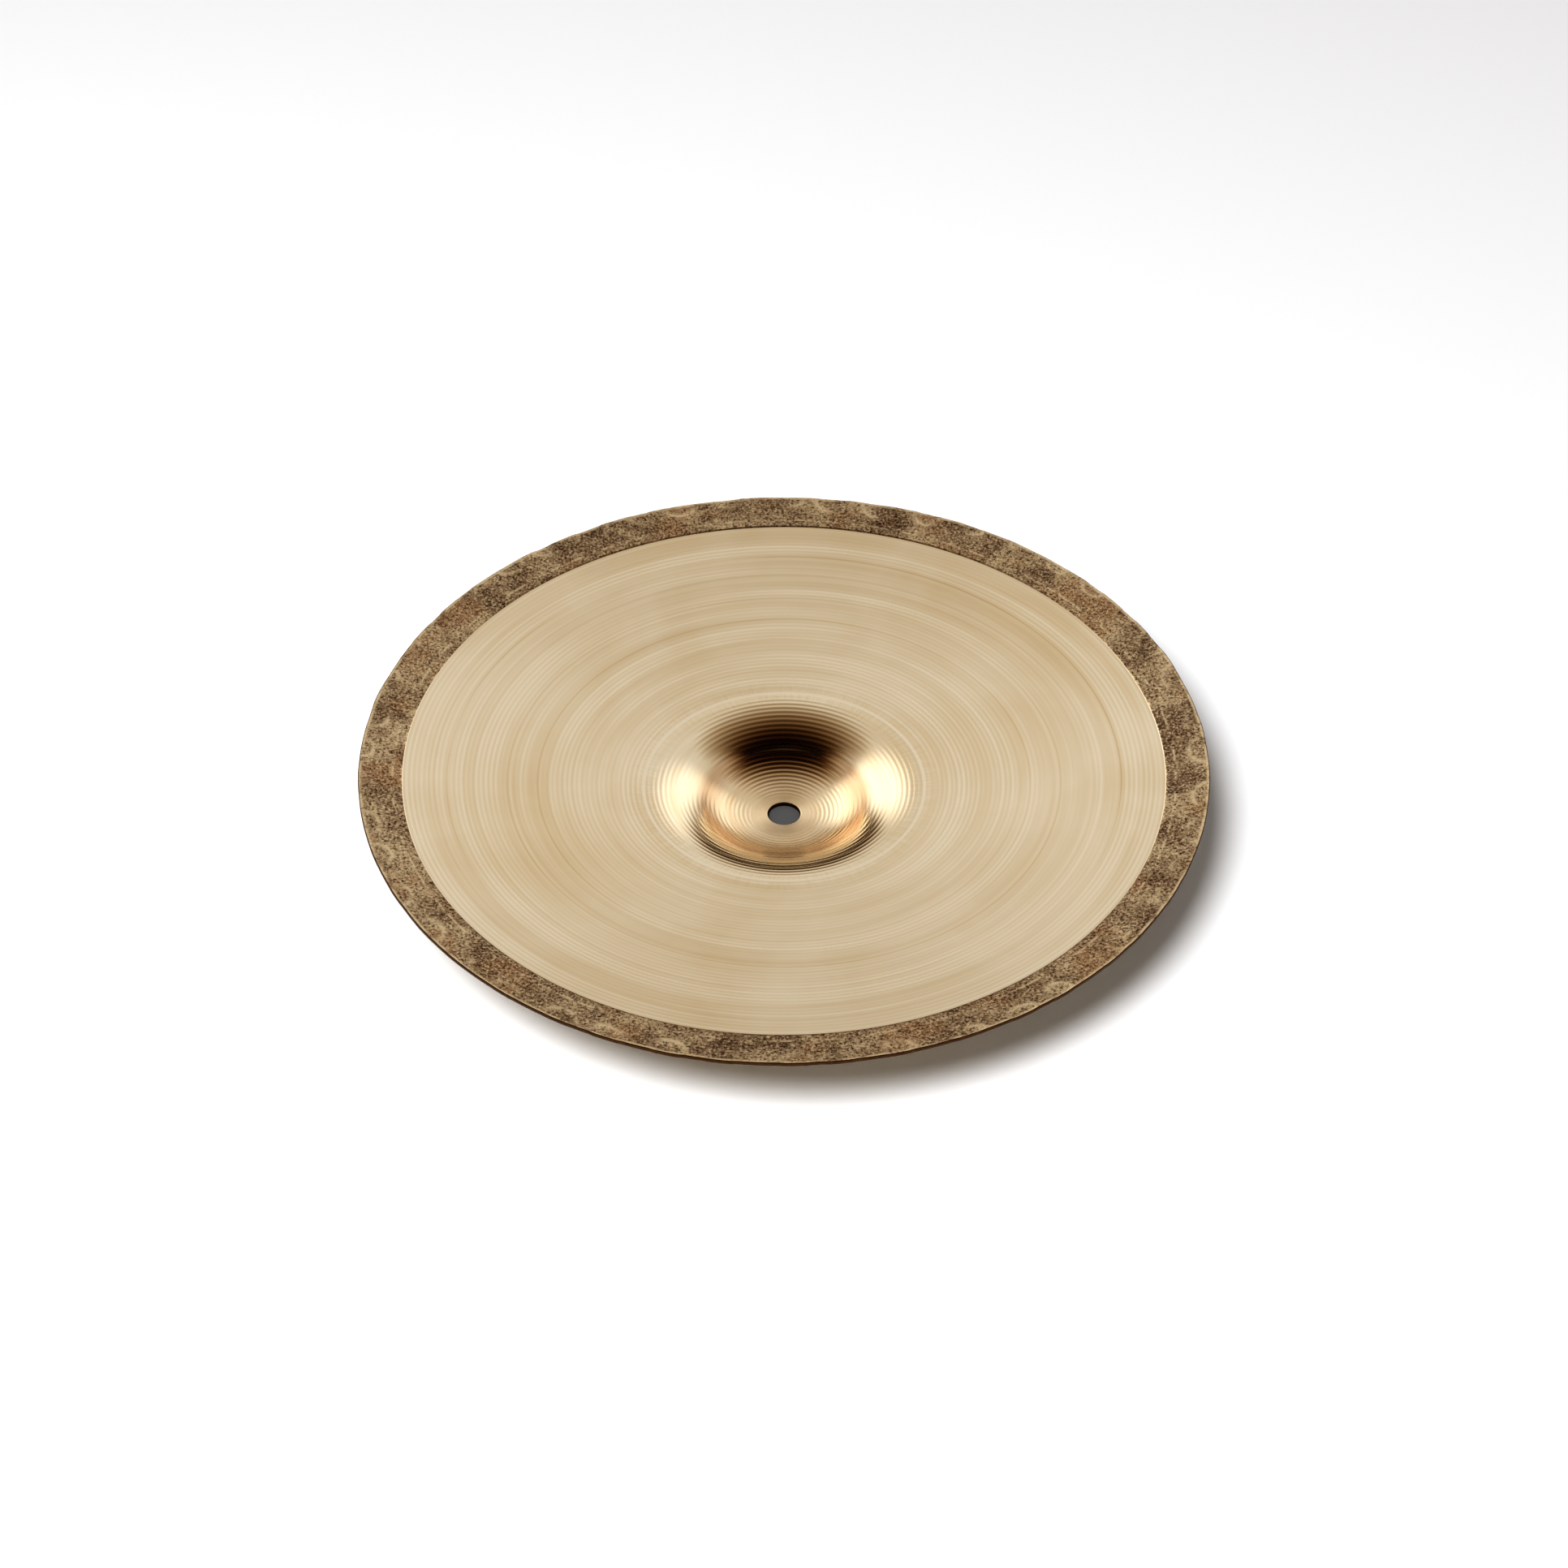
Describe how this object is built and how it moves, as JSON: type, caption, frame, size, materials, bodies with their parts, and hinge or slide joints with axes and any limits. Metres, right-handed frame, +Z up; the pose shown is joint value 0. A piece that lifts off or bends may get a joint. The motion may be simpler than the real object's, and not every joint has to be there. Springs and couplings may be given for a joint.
{
  "type": "cymbal",
  "caption": "Round bronze cymbal with a cupped bell, a lathed bow and a raw hammered rim band, lying bell down.",
  "frame": {"origin": "centre of the hole, in the plane of the flat land on the convex side of the bell, which is the lowest plane", "axes": "+Z up along the hole's axis, from the convex side to the concave side; X and Y are any two square directions, because the cymbal is round"},
  "size_m": [0.33, 0.33, 0.0352],
  "materials": {
    "bronze": "lathed, with a raw hammered rim band"
  },
  "bodies": {
    "root": {"cymbal": "bronze"}
  },
  "joints": []
}
